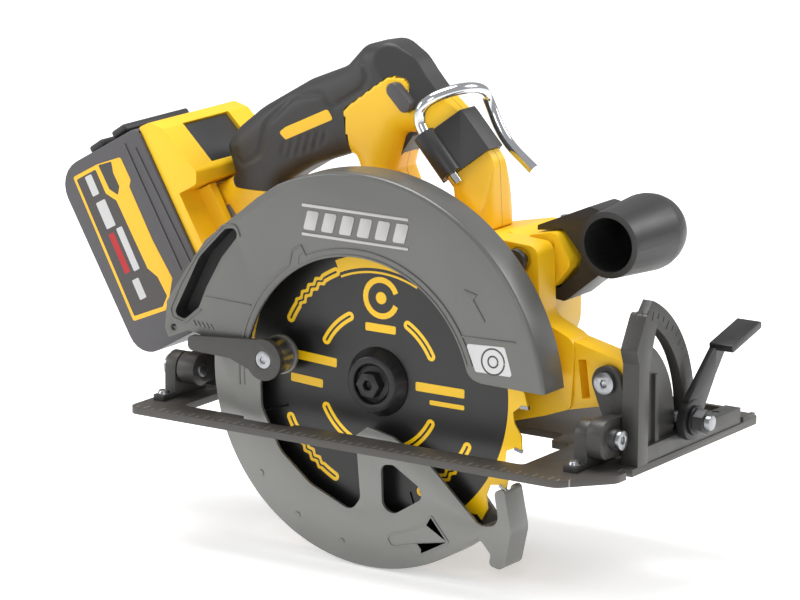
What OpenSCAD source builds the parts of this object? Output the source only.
// Cordless circular saw. X is the cutting direction, Y points to the motor side, Z is up.
// The sole lies on z = 0 and the blade turns in the plane y = 0.

/* [Blade] */
// Diameter over the tooth tips
blade_d = 190; // [165:1:230]
// Bore of the blade
blade_bore = 30; // [16:1:34]
// Thickness of the blade's plate
plate_t = 1.1; // [0.9:0.05:1.6]
// Width of the cut made by the tips
kerf = 1.65; // [1.5:0.05:2.6]
// Number of teeth
teeth = 24; // [18:2:40]
// Depth of cut with the saw fully down
cut_depth = 65; // [50:1:70]

/* [Shoe] */
// Thickness of the shoe plate
shoe_t = 4; // [3:0.5:6]
// Edge of the shoe on the blade side, from the blade plane
shoe_near = 38.5; // [34:0.5:50]
// Edge of the shoe on the motor side, from the blade plane
shoe_far = 144; // [115:1:180]
// Height of the bevel pivots above the sole
bevel_z = 20; // [18:0.5:24]
// Largest bevel angle
bevel_max = 57; // [45:1:57]
// Largest swing of the saw about its front pivot
depth_max = 28.5; // [20:0.5:29]

/* [Guards] */
// Gap between the tooth tips and the lower guard's outer face
lower_gap = 6.5; // [5:0.5:8]
// Gap between the tooth tips and the upper guard's outer face
upper_gap = 23; // [20:0.5:30]
// Radius of the window in the upper guard
window_r = 72.4; // [70.5:0.1:76]
// Wall of both guards
guard_wall = 2.2; // [1.8:0.1:3]
// Outer face of the upper guard, from the blade plane
guard_near = 22; // [20:0.5:26]

/* [Motor] */
// Outer radius of the motor housing
motor_r = 44; // [42:0.5:47]
// Length of the motor housing
motor_len = 55; // [48:1:66]
// Teeth of the motor pinion
pinion_teeth = 9; // [9:1:10]
// Teeth of the spindle gear
gear_teeth = 45; // [45:1:46]

/* [Handle] */
// Middle plane of the handle and battery, from the blade plane
grip_y = 55; // [54.5:0.5:64]
// Width of the handle shells
grip_w = 33; // [31:1:42]
// Wall of the handle shells
shell_wall = 2.6; // [2:0.1:3.4]
// Thickness of the rubber grip over the shells
rubber_t = 2.4; // [1.6:0.1:3]
// Radius of the front handle's egg
egg_r = 21; // [18:0.5:23]
// Wire radius of the rafter hook
wire_r = 3.2; // [2.5:0.1:3.5]

/* [Battery] */
// Width of the battery
battery_w = 86; // [70:1:86]
// Thickness of the battery's grey case
battery_t = 65; // [54:1:70]
// Length of the battery along its slide
battery_len = 116; // [100:1:130]
// Lean of the battery from vertical
battery_tilt = 30; // [30:1:30]

/* [Hidden] */

$fn = 72;
gap = 0.3;                               // clearance between separate parts
run = 0.05;                              // radial clearance of a running fit
blade_r = blade_d / 2;
ax_z = blade_r - cut_depth;              // height of the spindle
lift = ax_z - 30;                        // outlines of the saw body are drawn round z = 30
grow = blade_r - 95;                     // and for a 190 mm blade
low_r = blade_r + lower_gap;
up_r = blade_r + upper_gap;
low_near = -10;                          // outer faces of the lower guard
low_far = 8;
back_y = 11.2;                           // far face of the upper guard
back_r = up_r - 9.5;                     // its far half is narrower
seam_y = -1;                             // where its two halves meet
case_y0 = 18;                            // gear case, from and to
case_y1 = 35;
yellow = "#F2BE1A";
dark = "#4A4846";
steel = "#8D8F92";
black = "#2B2B2C";

// front pivot of the depth swing, and the tilt pivots
piv_x = 133.2 + grow;
piv_z = 45.2;
quad_x = piv_x + 13.8;                   // back face of the bevel quadrant
quad_t = 6;
slot_r = 58.3;                           // radius of the bevel slot
slot_w = 10;
rear_x = -136 - grow;                    // outer face of the rear pivot ear
shoe_x0 = rear_x - 4;
shoe_x1 = quad_x + quad_t + 4;

// depth bolt, on an arc about the front pivot
depth_r = 189.5 + grow;
depth_rest = 183.1;
bolt_x = piv_x + depth_r * cos(depth_rest);
bolt_z = piv_z + depth_r * sin(depth_rest);

// motor axis, one gear centre distance from the spindle
gear_m = 1;
centres = gear_m * (gear_teeth + pinion_teeth) / 2;
motor_a = 68;
mot_x = centres * cos(motor_a);
mot_z = ax_z + centres * sin(motor_a);
motor_y1 = case_y1 + motor_len;

near_y = grip_y - grip_w / 2;            // sides of the handle shells
far_y = grip_y + grip_w / 2;

// battery frame: x across the mating face, z along the slide
rail_v = -66;
case_v = rail_v - 7;
batt_u0 = 98;
batt_u1 = batt_u0 + battery_len;

// a flat outline in X and Z, made from y0 to y1
module xz(y0, y1) translate([0, y1, 0]) rotate([90, 0, 0]) linear_extrude(y1 - y0) children();
// a flat outline in Y and Z, made from x0 to x1
module yz(x0, x1) translate([x0, 0, 0]) rotate([90, 0, 90]) linear_extrude(x1 - x0) children();
module rod_y(r, y0, y1, x, z, r2 = 0)
    translate([x, y1, z]) rotate([90, 0, 0]) cylinder(r1 = r2 == 0 ? r : r2, r2 = r, h = y1 - y0);
module rod_x(r, x0, x1, y, z) translate([x0, y, z]) rotate([0, 90, 0]) cylinder(r = r, h = x1 - x0);
module battery_frame() translate([0, 0, lift]) rotate([0, -battery_tilt, 0]) children();

function unit(v) = v / norm(v);
function corner(a, b, c, r, n) =
    let (u = unit(a - b), v = unit(c - b), half = acos(u * v) / 2,
         reach = min(r / tan(half), norm(a - b) * 0.48, norm(c - b) * 0.48),
         rr = reach * tan(half), mid = b + unit(u + v) * rr / sin(half),
         s = b + u * reach - mid, e = b + v * reach - mid,
         a0 = atan2(s.y, s.x), d = atan2(e.y, e.x) - a0,
         turn = d > 180 ? d - 360 : d < -180 ? d + 360 : d)
    [for (i = [0:n]) mid + rr * [cos(a0 + turn * i / n), sin(a0 + turn * i / n)]];
// an outline whose third numbers are the corner radii
function rounded(p, n = 6) = [for (i = [0:len(p) - 1])
    let (k = len(p), a = p[(i + k - 1) % k], b = p[i], c = p[(i + 1) % k])
    each (b[2] == 0 ? [[b.x, b.y]] : corner([a.x, a.y], [b.x, b.y], [c.x, c.y], b[2], n))];
// the same outline moved inwards by d; its points run anticlockwise
function inset(p, d) = [for (i = [0:len(p) - 1])
    let (k = len(p), a = p[(i + k - 1) % k], b = p[i], c = p[(i + 1) % k],
         u = unit([b.x - a.x, b.y - a.y]), v = unit([c.x - b.x, c.y - b.y]),
         m = [-u.y - v.y, u.x + v.x], s = 2 * d / (m * m))
    [b.x + m.x * s, b.y + m.y * s, max(b[2] - d * sign(u.x * v.y - u.y * v.x), 0.4)]];
function arc(r, a0, a1, n, x = 0, z = 0) =
    [for (i = [0:n]) [x + r * cos(a0 + (a1 - a0) * i / n), z + r * sin(a0 + (a1 - a0) * i / n)]];

// ---- shoe ----

slot_x0 = -116 - grow;
slot_x1 = 104 + grow;
slot_near = -20;
slot_mid = 30;
slot_far = 47;
fence_y = 62;
fence_x = shoe_x1 - 38;

module shoe_outline() polygon(rounded([
    [shoe_x0, -shoe_near, 6], [shoe_x1 - 22, -shoe_near, 8], [shoe_x1, -shoe_near + 26, 8],
    [shoe_x1, shoe_far, 8], [shoe_x0, shoe_far, 8]]));

module shoe() color(dark) difference() {
    union() {
        linear_extrude(shoe_t) shoe_outline();
        // front lip, turned up
        translate([shoe_x1 - 2.5, 123, 0]) cube([2.5, shoe_far - 131, shoe_t + 3]);
        // stiffening rib on the motor side
        translate([shoe_x0 + 12, shoe_far - 8, 0]) cube([shoe_x1 - shoe_x0 - 24, 3, shoe_t + 3]);
    }
    translate([0, 0, -1]) linear_extrude(shoe_t + 2) polygon(rounded([
        [slot_x0, slot_near, 4], [slot_x1, slot_near, 3], [slot_x1, slot_mid, 4],
        [low_r - 11.5, slot_mid, 3], [low_r - 11.5, slot_far, 4], [-low_r + 5, slot_far, 4],
        [-low_r + 5, 32, 3], [slot_x0, 32, 4]], 5));
    // relief for the guard's lever at steep bevels
    translate([drum_x - 17, slot_near - 5, -1]) cube([34, 8, shoe_t + 2]);
    // windows for the fence arm, front and rear
    for (x = [shoe_x1 - 46, shoe_x0 + 20])
        translate([x, fence_y + 24, -1]) cube([22, 16, shoe_t + 2]);
    // notch that shows the line of cut
    translate([shoe_x1 - 6, -3, -1]) cube([8, 6, shoe_t + 2]);
    for (p = ear_screw_points()) translate([p.x, p.y, -1]) cylinder(r = 2.2, h = shoe_t + 2);
    for (p = quad_screw_points()) translate([p.x, p.y, -1]) cylinder(r = 2.2, h = shoe_t + 2);
    translate([fence_x, fence_y, -1]) cylinder(r = 2.2, h = shoe_t + 2);
}

front_ear_x = piv_x - 4.7;
function ear_screw_points() = [
    [front_ear_x + 4, -15], [front_ear_x + 4, 15], [rear_x + 3.5, -15], [rear_x + 3.5, 15]];
function quad_screw_points() = [for (y = [28, 66, 104]) [quad_x + 3, y]];

// an upright ear with a foot each side of it, held by two screws
module pivot_ear(x0, x1) difference() {
    union() {
        yz(x0, x1) difference() {
            polygon(concat([[9, shoe_t + 3], [-9, shoe_t + 3]], arc(9, 180, 0, 16, 0, bevel_z)));
            circle(0.01);
        }
        translate([x0, -20, shoe_t]) cube([x1 - x0, 40, 3.4]);
    }
    rod_x(4 + run, x0 - 1, x1 + 1, 0, bevel_z);
    for (p = ear_screw_points()) translate([p.x, p.y, 0]) cylinder(r = 2.2, h = 20);
}
module front_pivot_ear() color(dark) pivot_ear(front_ear_x, front_ear_x + 8);
module rear_pivot_ear() color(black) pivot_ear(rear_x, rear_x + 7);

module pan_screw(x, y, z, r = 3.6, depth = 6) translate([x, y, z]) difference() {
    union() {
        cylinder(r1 = r, r2 = r * 0.75, h = 2);
        translate([0, 0, -depth]) cylinder(r = 2, h = depth);
    }
    translate([0, 0, 0.8]) cylinder(r = r * 0.4, h = 2, $fn = 6);
}
module ear_screws() color(steel)
    for (p = ear_screw_points()) pan_screw(p.x, p.y, shoe_t + 3.4);

// upright plate with the curved bevel slot, cast with its base bar
module bevel_quadrant() color(dark) difference() {
    union() {
        yz(quad_x, quad_x + quad_t) polygon(concat(
            rounded([[75.3, shoe_t, 0], [75.3, 17.5, 0]]),
            arc(slot_r + 17, 0, 68, 24, 0, bevel_z),
            rounded([[16, 86.2, 3], [5.5, 67, 3], [8.5, 59, 3], [8.5, shoe_t, 0]])));
        // thick near edge
        yz(quad_x - 0, quad_x + quad_t + 4) polygon(rounded([
            [8.5, shoe_t, 0], [19, shoe_t, 0], [19, 56, 3], [27, 80, 2], [16, 86.2, 3],
            [5.5, 67, 3], [8.5, 59, 3]]));
        // base bar
        translate([quad_x, 8.5, shoe_t]) cube([quad_t + 3.5, 112, 9]);
        // web beside the slot
        yz(quad_x, quad_x + quad_t + 2) polygon([[30, 12], [34, 12], [32, 50], [29, 50]]);
    }
    yz(quad_x - 1, quad_x + quad_t + 6) polygon(concat(
        arc(slot_r - slot_w / 2, -7, bevel_max + 7, 30, 0, bevel_z),
        arc(slot_r + slot_w / 2, bevel_max + 7, -7, 30, 0, bevel_z)));
    for (p = quad_screw_points()) translate([p.x, p.y, 0]) cylinder(r = 2.2, h = 30);
}
module quadrant_screws() color(steel)
    for (p = quad_screw_points()) translate([p.x, p.y, 0]) cylinder(r = 2, h = shoe_t + (p.y < 75 ? 4 : 8.5));

// guide block for a rip fence, with its clamping screw
fence_w = 20;
fence_h = 6;
module fence_clamp() color(dark) difference() {
    translate([fence_x - 11, fence_y - 16, shoe_t]) cube([22, 32, 12]);
    translate([fence_x - 12, fence_y - fence_w / 2, shoe_t - 1]) cube([24, fence_w, fence_h + 1]);
    translate([fence_x, fence_y, 0]) cylinder(r = 2.6, h = 40);
}
module fence_screw() color(black) translate([fence_x, fence_y, 0]) {
    translate([0, 0, shoe_t + fence_h + 0.4]) cylinder(r = 2.5, h = 10);
    translate([0, 0, shoe_t + 12.4]) cylinder(r = 8, h = 7, $fn = 12);
}

// ---- tilt frame ----

// front casting: barrel on the bevel axis, arm to the bevel bolt, ears to the depth pivot
module front_tilt_bracket() color(dark) difference() {
    union() {
        yz(piv_x + 3.8, quad_x - 1) polygon(rounded([
            [-11, 10, 6], [20, 8, 6], [slot_r + 11, 9, 9], [slot_r + 11, 31, 9], [30, 29, 4],
            [-11, 31, 8]]));
        rod_x(5.4, quad_x - 1.5, quad_x + 3, 0, bevel_z);
        for (y = [15.2, 36.4])
            xz(y, y + 4) polygon(concat(arc(9, 200, 20, 18, piv_x, piv_z),
                                        [[quad_x - 1, 30], [quad_x - 1, 12], [piv_x + 3.8, 12]]));
    }
    rod_x(4 + run, piv_x, quad_x + 6, 0, bevel_z);
    rod_x(4, piv_x, quad_x + 6, slot_r, bevel_z);
    rod_y(4, 10, 44, piv_x, piv_z);
}

// rear casting with the upright arc that the depth bolt slides in
module rear_tilt_bracket() color(black) {
    x0 = rear_x + 8;
    difference() {
        union() {
            rod_x(9, x0, x0 + 11, 0, bevel_z);
            translate([x0, 0, bevel_z - 8]) cube([11, 16.5, 16]);
            xz(13.5, 16.5) polygon(rounded([
                [x0, 8, 3], [bolt_x + 12, 8, 6], [bolt_x + 12, 30, 4], [x0 + 12, 30, 6], [x0, 24, 3]]));
            xz(13.5, 16.5) polygon(concat(arc(depth_r - 8, 152.2, 188, 30, piv_x, piv_z),
                                          arc(depth_r + 7, 188, 152.2, 30, piv_x, piv_z)));
        }
        rod_x(4 + run, x0 - 1, x0 + 12, 0, bevel_z);
        xz(12, 18) polygon(concat(
            arc(depth_r - 3.2, depth_rest - depth_max - 1.2, depth_rest + 1.2, 30, piv_x, piv_z),
            arc(depth_r + 3.2, depth_rest + 1.2, depth_rest - depth_max - 1.2, 30, piv_x, piv_z)));
    }
}

// shouldered pins of the bevel axis, front and rear
module bevel_pivot_pins() color(steel) {
    difference() {
        union() {
            rod_x(4, front_ear_x - 1, quad_x + 3, 0, bevel_z);
            rod_x(5.2, quad_x + 3.2, quad_x + 6, 0, bevel_z);
            rod_x(4, quad_x + 2.9, quad_x + 3.3, 0, bevel_z);
        }
        rod_x(2.2, quad_x + 4.4, quad_x + 7, 0, bevel_z, $fn = 6);
    }
    rod_x(4, rear_x - 0.5, rear_x + 20, 0, bevel_z);
    rod_x(6.5, rear_x - 3, rear_x - 0.4, 0, bevel_z);
}

lever_x = quad_x + quad_t + 4.6;
module bevel_bolt() color(steel) {
    rod_x(3.95, piv_x + 3, lever_x + 16, slot_r, bevel_z);
    rod_x(7, piv_x + 0.6, piv_x + 3.6, slot_r, bevel_z, $fn = 6);
}
module depth_pivot_pin() color(steel) difference() {
    union() {
        rod_y(4 - run, 13, 43, piv_x, piv_z);
        rod_y(6, 12, 14.9, piv_x, piv_z);
        rod_y(6, 40.7, 43, piv_x, piv_z);
    }
    rod_y(2.2, 11, 13.6, piv_x, piv_z, $fn = 6);
}

// clamping lever of the bevel lock: hub, flat arm and a ribbed thumb pad
module bevel_lever() color(dark) {
    difference() {
        union() {
            rod_x(11, lever_x, lever_x + 5, slot_r, bevel_z);
            yz(lever_x, lever_x + 4) polygon(rounded([
                [slot_r + 3, bevel_z - 9, 2], [slot_r + 24, bevel_z + 20, 4],
                [slot_r + 37, bevel_z + 35, 3], [slot_r + 24, bevel_z + 35, 3],
                [slot_r - 6, bevel_z + 10, 4]]));
            yz(lever_x, lever_x + 14) polygon(rounded([
                [slot_r + 24, bevel_z + 33, 1], [slot_r + 56, bevel_z + 41, 1.5],
                [slot_r + 55, bevel_z + 45, 1.5], [slot_r + 23, bevel_z + 37, 1]], 4));
        }
        rod_x(4 + run, lever_x - 1, lever_x + 20, slot_r, bevel_z);
    }
}
module bevel_nut() color(steel) difference() {
    union() {
        rod_x(8, lever_x + 5.3, lever_x + 7, slot_r, bevel_z);
        rod_x(7, lever_x + 7, lever_x + 13, slot_r, bevel_z, $fn = 6);
    }
    rod_x(4, lever_x, lever_x + 20, slot_r, bevel_z);
}

// ---- gear case and motor ----

lug_y0 = 19.6;
lug_y1 = 36;
nose_r = 22;                              // journal that the lower guard turns on
nose_y0 = 5.3;

function foot_top() = [[86, 113, 7], [88, 76, 16], [104, 70, 30], [128, 63, 12]];
module case_outline(d = 0) {
    translate([0, ax_z]) circle(27.5 - d);
    translate([mot_x, mot_z]) circle(motor_r - d);
    translate([0, lift]) polygon(rounded([
        [20, 5 + d, 8], [60, 11 + d, 12], [94, 21 + d, 10], [110 - d, 27 + d, 4],
        [112 - d, 64 - d, 8], [90 - d, 73 - d, 8], [88 - d, 112 - d, 6], [52, 114 - d, 12], [10, 90, 10]]));
}
module foot_outline() hull() {
    translate([piv_x, piv_z]) circle(12.8, $fn = 32);
    translate([104, lift + 26]) square([4, 38]);
}
module gear_case() color(yellow) difference() {
    union() {
        difference() {
            xz(case_y0, case_y1) case_outline();
            xz(case_y0 + 3, case_y1 + 1) intersection() {
                case_outline(3);
                translate([-60, -20]) square([165, 160]);
            }
        }
        // foot that carries the front pivot, with cast pockets
        difference() {
            xz(lug_y0, lug_y1) foot_outline();
            for (x = [106, 116]) translate([x + grow, lug_y0 - 1, piv_z - 12]) rotate([0, -8, 0]) cube([5, 9, 21]);
        }
        // bearing nose round the spindle
        rod_y(nose_r, nose_y0, case_y0 + 1, 0, ax_z);
        rod_y(20, case_y0 + 1, case_y0 + 6, 0, ax_z);
        // seat of the pinion bearing
        rod_y(13, case_y0 + 1, case_y0 + 4, mot_x, mot_z);
        // lug for the depth bolt
        xz(case_y0 + 1, case_y0 + 7) hull() {
            translate([bolt_x, bolt_z]) circle(9, $fn = 32);
            translate([mot_x - motor_r + 6, mot_z - 22]) square([4, 22]);
        }
        // posts that hold the upper guard
        for (p = guard_posts()) rod_y(5.5, back_y, case_y0 + 2, p.x, p.y);
    }
    rod_y(19, -1, case_y0 - 7, 0, ax_z);
    rod_y(15, 0, case_y0 + 7, 0, ax_z);
    rod_y(24.6, case_y0 + 5.9, case_y1 + 2, 0, ax_z);
    rod_y(4 + run, 0, 50, piv_x, piv_z);
    rod_y(3 + run, 0, 50, bolt_x, bolt_z);
    rod_y(3.5 + run, 0, 50, lock_x, lock_z);
    rod_y(7, 0, case_y0 + 2.6, lock_x, lock_z);
    for (p = guard_posts()) rod_y(1.7, 0, case_y0 + 1, p.x, p.y);
}
// cover of the gears, which holds the rear bearings
module bearing_plate() color(steel) difference() {
    xz(case_y1 - 3, case_y1) {
        translate([0, ax_z]) circle(27.5 - 3.2);
        translate([mot_x, mot_z]) circle(motor_r - 3.2);
    }
    rod_y(10, 20, 50, 0, ax_z);
    rod_y(6.5, 20, 50, mot_x, mot_z);
}
function guard_posts() = [[34, ax_z + 46], [-14, ax_z + 60], [78, ax_z + 30]];

// barrel that holds the motor, with a square pod in front for the electronics
module motor_housing() color(yellow) difference() {
    union() {
        rod_y(motor_r, case_y1 + 0.1, motor_y1, mot_x, mot_z);
        xz(case_y1 + 0.1, motor_y1 - 9) translate([0, lift]) polygon(rounded([
            [44, 20, 10], [66, 30, 12], [78, 60, 14], [78, 110, 10], [60, 114, 8], [12, 104, 6],
            [12, 40, 6]]));
        // nose that the front handle straddles
        translate([0, 38, lift]) rotate([90, 0, 0]) translate([0, 0, -34]) linear_extrude(34)
            polygon(rounded([[70, 86, 3], [86, 86, 4], [97, 100, 5], [87, 116.5, 5], [70, 113, 3]]));
    }
    rod_y(motor_r - 3, case_y1 - 1, motor_y1 + 1, mot_x, mot_z);
    xz(case_y1 - 1, motor_y1 - 12) translate([0, lift]) polygon(rounded([
        [46, 24, 8], [64, 33, 10], [75, 60, 12], [75, 108, 8], [58, 111, 6], [46, 108, 4]]));
    // cooling slots
    for (i = [-3:3]) translate([mot_x - motor_r - 1, motor_y1 - 26, mot_z + i * 7 - 1.5]) cube([14, 20, 3]);
    for (z = [92, 108]) rod_y(2.2, case_y1, 60, 84, z + lift);
}
module motor_end_cap() color(black) difference() {
    union() {
        rod_y(motor_r - 0.2, motor_y1 + 0.1, motor_y1 + 8, mot_x, mot_z);
        rod_y(motor_r - 8, motor_y1 + 8, motor_y1 + 13, mot_x, mot_z, motor_r - 1);
    }
    rod_y(motor_r - 4, motor_y1 - 1, motor_y1 + 6, mot_x, mot_z);
    for (i = [-3:3]) translate([mot_x - 22, motor_y1 + 4, mot_z + i * 8 - 1.5]) cube([44, 12, 3]);
    rod_y(4 + run, motor_y1 - 1, motor_y1 + 10, mot_x, mot_z);
}
// laminated ring with its wound teeth
module stator() color("#B06A35") difference() {
    rod_y(motor_r - 3, 52, 76, mot_x, mot_z);
    rod_y(24, 51, 77, mot_x, mot_z);
    for (a = [0:60:300]) translate([mot_x, 0, mot_z]) rotate([0, a, 0])
        translate([29, 51, -3]) cube([8, 26, 6]);
}
module control_board() color("#2E6B4A") translate([0, 0, lift]) {
    translate([60, case_y1 + 4, 50]) cube([2, 30, 52]);
    for (z = [56, 70, 84]) translate([62, case_y1 + 8, z]) cube([6, 10, 10]);
}
module spindle_bearings() color(steel) {
    difference() {
        rod_y(18.9, nose_y0 + 0.2, case_y0 - 7.2, 0, ax_z);
        rod_y(8 + run, 0, case_y0, 0, ax_z);
    }
    difference() {
        rod_y(10, case_y1 - 2.8, case_y1 - 0.2, 0, ax_z);
        rod_y(6, 30, 50, 0, ax_z);
    }
    difference() {
        rod_y(6.5, case_y1 - 2.8, case_y1 - 0.2, mot_x, mot_z);
        rod_y(3 + run, 30, 50, mot_x, mot_z);
    }
}

// ---- guards ----

// outline of the upper guard; its rear flares into the chip exhaust
function guard_rear(d) = [for (p = [[-64.8, 127.5], [-74, 120], [-83, 113], [-99.3, 99.6],
    [-112.7, 81.2], [-124.9, 62.7], [-126.4, 47]]) [p.x - grow + d * 0.85, p.y + lift - d * 0.5]];
front_a = asin(14 / 119.5);
rear_a = 116;
module guard_shape(d, open = false, r = up_r) polygon(concat(
    arc(r - d, open ? front_a - 8 : front_a, rear_a, 60, 0, ax_z), guard_rear(d),
    open ? [[-126.4 - grow + d, ax_z - 30]] :
           [[-124 - grow, ax_z + 12], [-110.8 - grow, ax_z + 17.7], [-82.7, ax_z + 13], [-62.8, ax_z + 14.6],
            [60, ax_z + 15]]));

module upper_guard() color("#6A6A68") difference() {
    union() {
        difference() {
            xz(-guard_near, seam_y) guard_shape(0);
            xz(-guard_near + guard_wall, 1) guard_shape(guard_wall, true);
        }
        rod_y(4.6, -guard_near + 1, -guard_near + 11, port_x, port_z);
    }
    rod_y(window_r, -guard_near - 1, 1, 0, ax_z);
    // chip exhaust recess
    xz(-guard_near - 1, -guard_near + 1.2) polygon(rounded([
        [-121 - grow, 56 + lift, 3], [-112 - grow, 55 + lift, 5], [-88 - grow, 92 + lift, 8],
        [-78 - grow, 104 + lift, 5], [-84 - grow, 109 + lift, 3], [-104 - grow, 90 + lift, 8]]));
    rod_y(2, -guard_near - 1, -guard_near + 11.5, port_x, port_z);
}
port_x = -120.4 - grow;                  // screw hole for a dust port
port_z = ax_z + 18.2;
module guard_back() color(yellow) difference() {
    xz(seam_y + gap, back_y) guard_shape(0.6, false, back_r);
    xz(-5, back_y - guard_wall) guard_shape(guard_wall, true, back_r - 0.6);
    rod_y(nose_r + gap, 0, 20, 0, ax_z);
    xz(0, back_y + 1) polygon(concat(arc(46, -12, 192, 30, 0, ax_z)));
    for (p = guard_posts()) {
        rod_y(2.2, 0, 20, p.x, p.y);
        rod_y(3.8, 0, back_y - 0.9, p.x, p.y);
    }
}
module guard_screws() color(steel) for (p = guard_posts()) {
    rod_y(3.6, back_y - guard_wall + 0.1, back_y - 0.9, p.x, p.y);
    rod_y(1.7, back_y - 1, case_y0, p.x, p.y);
}
module guard_ring() color(steel) difference() {
    rod_y(25.5, nose_y0 - 0.9, nose_y0, 0, ax_z);
    rod_y(20.3, 0, 12, 0, ax_z);
}
// closed coils of the spring that shuts the lower guard
module guard_spring() color(steel) for (i = [0:2])
    translate([0, back_y + 1.2 + i * 1.7, ax_z]) rotate([90, 0, 0])
        rotate_extrude() translate([nose_r + 0.75, 0]) circle(0.75, $fn = 16);

// swinging guard: near plate with its windows, far plate, rim and the toe
module low_near_plate() {
    difference() {
        polygon(concat(arc(low_r, 176, 318, 50), [[69.4, -66], [40, -39.4], [15.4, -26.7], [-0.7, -23.4]],
            rounded([[-8.1, -29.7, 1], [-5, -64, 5], [-11, -72, 6], [-38, -61, 20], [-58, -45, 20],
                     [-70.5, -22, 12], [-71, -8, 4], [-60, 4, 0]], 5)));
        // window ahead of the spoke
        polygon(rounded([[8, -43, 4], [16, -42, 4], [33, -52, 6], [35, -58, 6], [16, -70, 6], [9, -66, 6]], 5));
    }
    translate([drum_x, drum_z - ax_z]) circle(11);
}
module low_far_plate() difference() {
    union() {
        polygon(concat(arc(low_r, 176, 318, 50), [[60, -50], [24, -16], [24, 16], [-24, 18]]));
        circle(30);
    }
    circle(nose_r + run);
}
module lower_guard() color("#8A8A88") translate([0, 0, ax_z]) {
    xz(low_near, low_near + 2) low_near_plate();
    xz(low_far - 2, low_far) low_far_plate();
    xz(low_near, low_far) polygon(concat(arc(low_r, 176, 318, 50), arc(low_r - 2.2, 318, 176, 50)));
    // toe that lifts the guard off the work, hollow where the teeth pass
    difference() {
        xz(low_near, low_far) polygon(rounded([[68.2, -73.6, 1], [73, -76, 6], [78.5, -82, 3], [77, -88, 3],
            [86.5, -90, 4], [91, -68, 12], [86, -44, 3], [80, -47, 3], [83, -62, 6], [80, -66, 5],
            [73.5, -67.2, 1]], 5));
        rod_y(blade_r + 2.4, low_near + 2, low_far - 2, 0, 0);
    }
}
drum_x = -58;
drum_z = ax_z + 9;
module guard_drum() color(steel) rod_y(10, -guard_near - 0.6, low_near - 0.05, drum_x, drum_z);
module guard_lever() color("#6A6A68") difference() {
    union() {
        rod_y(11.5, -guard_near - 4.4, -guard_near - 0.7, drum_x, drum_z);
        xz(-guard_near - 4.4, -guard_near - 0.9) polygon(rounded([
            [drum_x, drum_z - 10, 2], [drum_x, drum_z + 11, 4], [drum_x - 50, drum_z + 7, 3],
            [drum_x - 50, drum_z - 1, 3], [drum_x - 22, drum_z - 2, 6]]));
    }
    rod_y(5, -guard_near - 5, -guard_near - 2.4, drum_x, drum_z);
}
module lever_screw() color(steel) difference() {
    rod_y(4.8, -guard_near - 4.2, -guard_near - 2.5, drum_x, drum_z);
    rod_y(2.2, -guard_near - 5, -guard_near - 3.2, drum_x, drum_z, $fn = 6);
}

// ---- blade and drive ----

function tooth(i) = let (a = 360 / teeth * i, p = 360 / teeth)
    [for (q = [[blade_r - 0.6, 0], [blade_r - 2.6, 4.4 / 15 * p], [blade_r - 8, 8 / 15 * p],
               [blade_r - 9.5, 12 / 15 * p], [blade_r - 5.5, 14.2 / 15 * p]])
        q[0] * [cos(a + q[1]), sin(a + q[1])]];
module blade() color("#1C1C1C") difference() {
    xz(-plate_t / 2, plate_t / 2) translate([0, ax_z]) difference() {
        polygon([for (i = [0:teeth - 1]) each tooth(i)]);
        for (a = [20:90:290]) rotate(a) translate([62, -0.6]) square([24, 1.2]);
    }
    rod_y(blade_bore / 2, -3, 3, 0, ax_z);
    for (i = [0:teeth - 1]) tip_place(i) translate([blade_r - 5.01, -3, -1.91]) cube([6, 6, 1.82]);
}
module tip_place(i) translate([0, 0, ax_z]) rotate([0, -360 / teeth * i, 0]) children();
module blade_tips() color("#B8BABD") for (i = [0:teeth - 1])
    tip_place(i) translate([blade_r - 5, -kerf / 2, -1.9]) cube([5, kerf, 1.8]);
flange_r = 19.5;
module inner_flange() color(steel) difference() {
    union() {
        rod_y(flange_r, plate_t / 2 + 0.01, nose_y0 - 1, 0, ax_z);
        rod_y(blade_bore / 2 - run, -plate_t / 2, 1, 0, ax_z);
    }
    rod_y(8, -5, 10, 0, ax_z);
}
module outer_flange() color("#3A3A3B") difference() {
    rod_y(15, -8, -plate_t / 2 - 0.01, 0, ax_z, flange_r);
    rod_y(11, -9, -4.5, 0, ax_z);
    rod_y(8, -10, 2, 0, ax_z);
}
module blade_bolt() color("#2A2A2B") difference() {
    union() {
        rod_y(10, -5.6, -4.6, 0, ax_z);
        rod_y(7.5, -11.5, -5.6, 0, ax_z, $fn = 6);
        rod_y(4, -5.7, 4, 0, ax_z);
    }
    rod_y(3, -12.5, -7.5, 0, ax_z, $fn = 6);
}
module spindle() color(steel) difference() {
    union() {
        rod_y(8, -4.4, 30, 0, ax_z);
        rod_y(6 - run, 29, case_y1 - 0.4, 0, ax_z);
    }
    rod_y(4, -6, 4.2, 0, ax_z);
}
// straight-sided teeth with backlash
module gear(n, w, y0, turn, phase) xz(y0, y0 + w) rotate(turn) polygon([
    for (i = [0:n - 1]) let (p = 360 / n, rp = gear_m * n / 2, a = p * (i + phase))
        each [for (q = [[rp - 1.25, -0.32 * p], [rp + 0.85, -0.09 * p], [rp + 0.85, 0.09 * p], [rp - 1.25, 0.32 * p]])
            q[0] * [cos(a + q[1]), sin(a + q[1])]]]);
module spindle_gear() color(steel) difference() {
    translate([0, 0, ax_z]) gear(gear_teeth, 6.6, 24.5, motor_a, 0);
    rod_y(8, 20, 40, 0, ax_z);
}
module rotor() color(steel) {
    translate([mot_x, 0, mot_z]) gear(pinion_teeth, 7.2, 24.2, motor_a, pinion_teeth % 2 == 0 ? 0.5 : 0);
    rod_y(3, 31, 40, mot_x, mot_z);
    rod_y(4, 40, motor_y1 + 6, mot_x, mot_z);
}
module rotor_magnets() color("#6E6E72") difference() {
    rod_y(23, 52, 76, mot_x, mot_z);
    rod_y(4, 50, 80, mot_x, mot_z);
}
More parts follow.
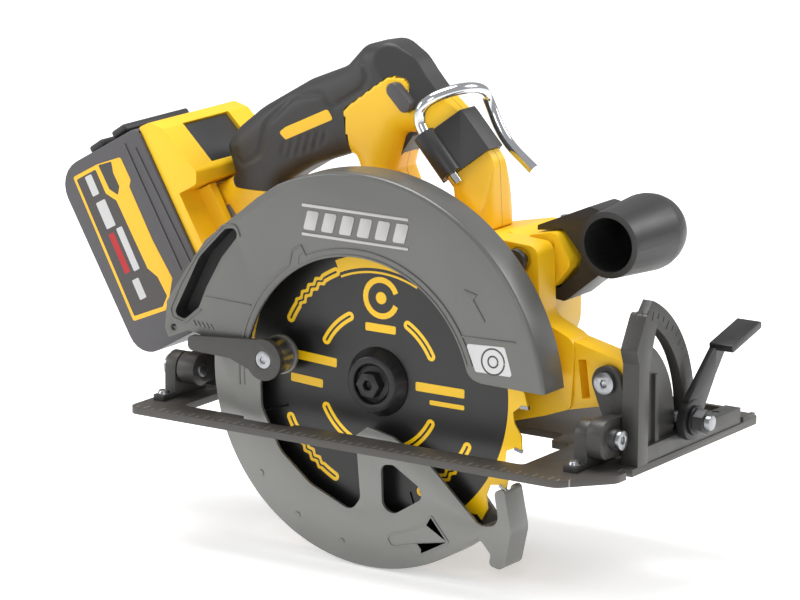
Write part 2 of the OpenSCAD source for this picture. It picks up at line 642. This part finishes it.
module cooling_fan() color(black) difference() {
    union() {
        rod_y(9, 79, 88, mot_x, mot_z);
        rod_y(motor_r - 6, 79, 80.4, mot_x, mot_z);
        for (a = [0:30:330]) translate([mot_x, 0, mot_z]) rotate([0, a, 0])
            translate([8, 80, -0.6]) cube([motor_r - 15, 7, 1.2]);
    }
    rod_y(4, 70, 95, mot_x, mot_z);
}

// ---- handle ----

function handle_outer() = [
    [44, 96, 4], [41, 148, 12], [20, 171, 14], [7, 180.5, 10], [-2, 190, 20], [-9, 199, 14],
    [-24, 207.5, 14], [-40, 204, 12], [-52, 191, 10], [-76, 181, 40], [-108, 162, 50],
    [-124, 149, 20], [-132, 138.5, 4], [-125.8, 121.9, 2], [-141.4, 112.9, 1], [-106.2, 51.9, 2],
    [-86, 40, 8], [-20, 36, 4], [10, 60, 1]];
function hand_gap() = [
    [-30, 104, 6], [-46, 143.5, 4], [-72.6, 133.6, 30], [-93, 121, 10], [-92, 104, 12],
    [-80, 86, 8], [-44, 86, 6]];
function finger_gap() = [
    [22, 108, 5], [17.5, 137, 8], [-1, 160, 4], [-13, 158, 3], [-19, 137, 4], [-8, 108, 5]];
function outset(p, d) = inset(p, -d);

// direction of the sloped neck that the hook sleeve wraps
neck_a = -48;
function neck(a, b) = [a * cos(neck_a) - b * sin(neck_a), a * sin(neck_a) + b * cos(neck_a)];
module neck_frame() translate([0, 0, lift]) rotate([0, -neck_a, 0]) children();
// the two corners cut off the front of the neck, d further in
module neck_cut(d) neck_frame() for (s = [0, 1])
    translate([0, s * 2 * grip_y, 0]) mirror([0, s, 0])
        let (a = [near_y, 108], b = [grip_y - 4.5, 131.5], u = unit(b - a), n = [-u.y, u.x])
            yz(-220, -40) polygon([a - n * d - u * 30, b - n * d + u * 30, b + u * 30 + n * 60, a - u * 30 + n * 60]);

module handle_profile() difference() {
    polygon(rounded(handle_outer()));
    polygon(rounded(hand_gap()));
    polygon(rounded(finger_gap()));
}
module handle_hollow() difference() {
    polygon(rounded(inset(handle_outer(), shell_wall)));
    polygon(rounded(outset(hand_gap(), shell_wall)));
    polygon(rounded(outset(finger_gap(), shell_wall)));
    for (p = shell_posts()) translate(p) circle(4, $fn = 24);
}
function shell_posts() = [[32, 122], [-28, 198], [-66, 164], [-112, 142], [-104, 72], [-64, 62]];
trig_w = 17;
trig_x = -14;
trig_z = 165 + lift;
function trigger_shape() = [[-34, 164, 2], [-40, 152, 2], [-26, 137.5, 3], [-19.5, 139, 2], [-16, 147, 8],
    [-10, 156, 2], [-9, 168, 3], [-18, 171, 3]];
module shell_cuts() {
    // room for the trigger and its travel
    xz(grip_y - trig_w / 2 - gap, grip_y + trig_w / 2 + gap) translate([0, lift])
        polygon(rounded([[-38, 168, 2], [-47.5, 153, 2], [-35, 134, 2], [-17, 134, 2], [-8, 155, 1], [-7, 171, 2],
                         [-18, 174, 2]]));
    rod_y(2.5 + run, near_y + 6, far_y - 6, trig_x, trig_z);
    // hole for the lock-off button
    xz(0, 120) translate([0, lift]) lock_off_outline(gap);
    // the motor housing below
    rod_y(motor_r + 0.15, 0, 120, mot_x, mot_z);
    xz(0, 120) translate([0, lift]) polygon([[12, 40], [79, 40], [79, 114.2], [60, 114.2], [12, 104.2]]);
    // the terminals show through the foot
    battery_frame() translate([rail_v - 1, grip_y - 15.2, batt_u0 + 11.8]) cube([7, 30.4, 40.4]);
    for (p = shell_posts()) rod_y(1.7, near_y + 6, 120, p.x, p.y + lift);
    for (p = shell_posts()) rod_y(3.6, far_y - 4, 120, p.x, p.y + lift);
    neck_cut(0);
}
module lock_off_outline(d = 0) {
    translate([-12.6, 178.6]) rotate(-45) hull() for (s = [-5.2, 5.2]) translate([s, 0]) circle(4.1 + d, $fn = 32);
}
module under_rubber() difference() {
    xz(near_y + rubber_t, far_y - rubber_t) translate([0, lift])
        polygon(rounded(inset(handle_outer(), rubber_t)));
    neck_cut(rubber_t);
}
module shell_half(y0, y1, c0, c1) difference() {
    xz(y0, y1) translate([0, lift]) handle_profile();
    difference() {
        xz(c0, c1) translate([0, lift]) handle_hollow();
        neck_cut(shell_wall + rubber_t);
    }
    shell_cuts();
    // the rubber lies in a shallow rebate
    difference() {
        xz(0, 120) translate([0, lift]) rubber_zone();
        under_rubber();
    }
}
module handle_shell_near() color(yellow)
    shell_half(near_y, grip_y, near_y + shell_wall + rubber_t, grip_y + 1);
module handle_shell_far() color(yellow)
    shell_half(grip_y, far_y, grip_y - 1, far_y - shell_wall - rubber_t);

// part of the handle that the rubber covers: the back of the hand and the sides behind the trigger
module rubber_zone()
    polygon([[-8, 170], [10, 184], [20, 230], [-140, 230], [-150, 140], [-122, 116], [-60, 116],
             [-47, 146], [-50, 168], [-20, 190], [-10, 188]]);
module grip_rubber() color(black) difference() {
    intersection() {
        xz(near_y, far_y) translate([0, lift]) difference() {
            polygon(rounded(handle_outer()));
            polygon(rounded(hand_gap()));
        }
        xz(0, 120) translate([0, lift]) rubber_zone();
    }
    under_rubber();
    neck_cut(0);
    xz(0, 120) translate([0, lift]) lock_off_outline(gap);
    for (p = shell_posts()) rod_y(3.6, far_y - 4, 120, p.x, p.y + lift);
    for (p = shell_posts()) rod_y(1.9, near_y + 8.8, 120, p.x, p.y + lift);
}
module shell_screws() color(steel) for (p = shell_posts()) {
    rod_y(3.3, far_y - 4, far_y - 2.6, p.x, p.y + lift);
    rod_y(1.7, near_y + 9, far_y - 3.9, p.x, p.y + lift);
}
module switch_module() color("#3C3C3E") translate([-53.8, grip_y - 9, 156.6 + lift]) rotate([0, -32, 0])
    cube([19, 18, 13]);
module trigger() color("#3A3A3B") {
    difference() {
        xz(grip_y - trig_w / 2, grip_y + trig_w / 2) translate([0, lift]) polygon(rounded(trigger_shape()));
        xz(grip_y - trig_w / 2 + 3, grip_y + trig_w / 2 - 3) translate([0, lift])
            polygon([[-33, 161], [-36, 153], [-27, 147], [-20, 151], [-15, 158], [-14, 160], [-20, 162]]);
    }
    rod_y(2.5, near_y + 7, far_y - 7, trig_x, trig_z);
}
module lock_off_button() color("#55585C")
    xz(near_y - 2.6, far_y - 1.5) translate([0, lift]) lock_off_outline();

// contacts and T-shaped rail that the battery slides on
module terminal_block() color(black) battery_frame() {
    translate([rail_v + 0.3, grip_y - 15, batt_u0 + 12]) cube([5.4, 30, 40]);
}

// sleeve round the neck, with the bore that the hook turns in
hook_b = 112;
hook_y = near_y - 4.6;
module hook_sleeve() color(black) difference() {
    union() {
        difference() {
            neck_frame() translate([-116, near_y - 2.4, 103]) cube([27, grip_w + 4.8, 40]);
            neck_cut(-2.4);
            xz(0, 120) translate([0, lift]) difference() {
                square(300);
                polygon(rounded(outset(handle_outer(), 2.4)));
            }
        }
        neck_frame() translate([-116, hook_y, hook_b]) rotate([0, 90, 0]) cylinder(r = 6.2, h = 27);
    }
    difference() {
        xz(near_y - gap, far_y + gap) translate([0, lift]) polygon(rounded(outset(handle_outer(), gap)));
        neck_cut(-gap);
    }
    neck_frame() translate([-130, hook_y, hook_b]) rotate([0, 90, 0]) cylinder(r = wire_r + run, h = 60);
}

// bent wire: a leg in the sleeve, a bar across the neck and a leg down the far side
hook_far_y = far_y + wire_r + 4.2;
function hook_path() = [for (p = [[-83, hook_b, hook_y], [-119, hook_b, hook_y], [-126, 117, hook_y],
    [-128.5, 123, hook_y + 0.6], [-128, 130, hook_y + 5], [-125, 138, grip_y - 4], [-122, 138, far_y - 4],
    [-119, 131, hook_far_y], [-95, 124, hook_far_y - 0.4], [-71, 129, hook_far_y - 0.4]])
    let (q = neck(p[0], p[1])) [q.x, p[2], q.y]];
module bar(a, b, r) let (d = b - a, l = norm(d))
    translate(a) rotate([0, acos(d.z / l), atan2(d.y, d.x)]) cylinder(r = r, h = l, $fn = 32);
module rafter_hook() color("#C9CCD0") translate([0, 0, lift]) let (p = hook_path())
    for (i = [0:len(p) - 2]) {
        bar(p[i], p[i + 1], wire_r);
        if (i > 0) translate(p[i]) sphere(r = wire_r + 0.05, $fn = 32);
    }

// hollow egg on two arms that grip the nose of the motor housing
egg_x = 120.5;
egg_z = 114;
egg_y0 = 36;
egg_y1 = 101;
function egg(d) = concat([[0, egg_y0 - (d > 0 ? 1 : 0)], [18 - d, egg_y0 - (d > 0 ? 1 : 0)]],
    [for (t = [0:10:90]) [(egg_r - d) * (t == 90 ? 0 : cos(t)) , 76 + (egg_y1 - 76 - d) * sin(t)]]);
module front_handle() color(black) difference() {
    union() {
        translate([egg_x, 0, egg_z + lift]) rotate([-90, 0, 0]) rotate_extrude() polygon(egg(0));
        xz(44, 70) translate([0, lift]) polygon(rounded([[72, 113.6, 1], [88, 117.6, 3], [100, 104, 3], [98, 96, 3],
            [86.5, 85, 3], [79, 84.5, 1], [79, 79, 1], [90, 78, 4], [112, 96, 8], [112, 130, 8], [104, 131.5, 4],
            [72, 117.5, 1]]));
    }
    translate([egg_x, 0, egg_z + lift]) rotate([-90, 0, 0]) rotate_extrude() polygon(egg(3.4));
    xz(37, 74) translate([0, lift]) polygon(rounded([[60, 85.7, 3], [86.1, 85.7, 4], [97.4, 100, 5], [87.2, 116.9, 5],
        [60, 113.3, 3]]));
    translate([arm_bolt_x, 57, bolt_low - 20 + lift]) cylinder(r = 4 + gap, h = 20);
    translate([arm_bolt_x, 57, bolt_high + lift]) cylinder(r = 4 + gap, h = 20);
}
arm_bolt_x = 83;
bolt_low = 79.2;                         // seats of the two bolt heads in the arms
bolt_high = 119.3;
module handle_bolts() color(steel) {
    translate([arm_bolt_x, 57, bolt_low - 2.2 + lift]) cylinder(r = 4, h = 2.1);
    translate([arm_bolt_x, 57, bolt_high + 0.1 + lift]) cylinder(r = 4, h = 2.4);
}

// button that stops the spindle while the blade is changed
lock_x = 77;
lock_z = 104 + lift;
module spindle_lock() color(black) {
    rod_y(6.5, 11.8, case_y0 - 4.2 + 2, lock_x, lock_z);
    rod_y(3.5, case_y0 - 3, case_y0 + 12, lock_x, lock_z);
}

module depth_bolt() color(steel) {
    rod_y(6, 11.5, 13.3, bolt_x, bolt_z);
    rod_y(3, 13.2, 36.5, bolt_x, bolt_z);
    rod_y(5, 33.6, 36.4, bolt_x, bolt_z, $fn = 6);
}
module depth_lever() color(black) difference() {
    union() {
        rod_y(8, case_y0 + 7.5, case_y0 + 15, bolt_x, bolt_z);
        xz(case_y0 + 8, case_y0 + 13) polygon(rounded([[bolt_x, bolt_z - 6, 2], [bolt_x, bolt_z + 7, 3],
            [bolt_x - 38, bolt_z + 8, 3], [bolt_x - 38, bolt_z + 1, 3]]));
    }
    rod_y(3 + run, 0, 60, bolt_x, bolt_z);
}

// ---- battery ----

module block_uv(pts, y0, y1) battery_frame() xz(y0, y1) polygon(rounded(pts));
batt_y0 = grip_y - battery_w / 2;
batt_y1 = grip_y + battery_w / 2;
bottom_v = case_v - battery_t;
module battery_case() color("#4A4648") difference() {
    block_uv([[bottom_v, batt_u0, 14], [case_v, batt_u0, 5], [case_v, batt_u1, 5], [bottom_v, batt_u1, 16]],
             batt_y0, batt_y1);
    block_uv([[bottom_v + 3, batt_u0 + 3, 11], [case_v + 1, batt_u0 + 3, 1], [case_v + 1, batt_u1 - 3, 1],
              [bottom_v + 3, batt_u1 - 3, 13]], batt_y0 + 3, batt_y1 - 3);
}
module battery_cells() color("#4F7F9A") {
    battery_frame() for (r = [0:2], c = [0:3])
        translate([bottom_v + 14.5 + r * 20, batt_y0 + 6, batt_u0 + 20 + c * 24.5]) rotate([-90, 0, 0])
            cylinder(r = 9.2, h = battery_w - 12);
    // holders at both ends of the cells
    for (y = [batt_y0 + 3, batt_y1 - 7])
        block_uv([[bottom_v + 3, batt_u0 + 3, 11], [case_v, batt_u0 + 3, 1], [case_v, batt_u1 - 3, 1],
                  [bottom_v + 3, batt_u1 - 3, 13]], y, y + 4);
}
module battery_top() color(yellow) difference() {
    union() {
        block_uv([[case_v + 0.1, batt_u0 + 1, 1], [rail_v - 0.3, batt_u0 + 1, 2], [rail_v - 0.3, batt_u1 - 44, 0],
                  [-53, batt_u1 - 44, 2], [-49.5, batt_u1 - 38, 3], [-58, batt_u1 - 8, 4],
                  [-65, batt_u1 - 1, 4], [case_v + 0.1, batt_u1 - 0.5, 1]], batt_y0 + 2, batt_y1 - 2);
        // guide rails beside the handle foot
        for (s = [0, 1]) translate([0, s * 2 * grip_y, 0]) mirror([0, s, 0]) battery_frame()
            translate([rail_v - 1, near_y - 6.5, batt_u0 + 1]) cube([9, 6, batt_u1 - batt_u0 - 46]);
    }
    battery_frame() translate([-57, grip_y - 22, batt_u1 - 36]) rotate([0, -15, 0])
        translate([-3.2, 0, 0]) cube([43, 44, 28]);
}
module battery_latch() color("#33322F") battery_frame() translate([-57, grip_y - 22, batt_u1 - 36])
    rotate([0, -15, 0]) translate([0.3, 0.4, 0.4]) cube([4.6, 43.2, 27.2]);

shoe();
front_pivot_ear();
rear_pivot_ear();
ear_screws();
bevel_quadrant();
quadrant_screws();
fence_clamp();
fence_screw();
front_tilt_bracket();
rear_tilt_bracket();
bevel_pivot_pins();
bevel_bolt();
depth_pivot_pin();
bevel_lever();
bevel_nut();
gear_case();
upper_guard();
guard_back();
guard_screws();
guard_ring();
guard_spring();
spindle_bearings();
bearing_plate();
motor_housing();
motor_end_cap();
stator();
control_board();
handle_shell_near();
handle_shell_far();
grip_rubber();
shell_screws();
switch_module();
terminal_block();
front_handle();
handle_bolts();
hook_sleeve();
depth_bolt();
blade();
blade_tips();
inner_flange();
outer_flange();
blade_bolt();
spindle();
spindle_gear();
rotor();
rotor_magnets();
cooling_fan();
lower_guard();
guard_drum();
guard_lever();
lever_screw();
trigger();
lock_off_button();
spindle_lock();
depth_lever();
rafter_hook();
battery_case();
battery_top();
battery_cells();
battery_latch();
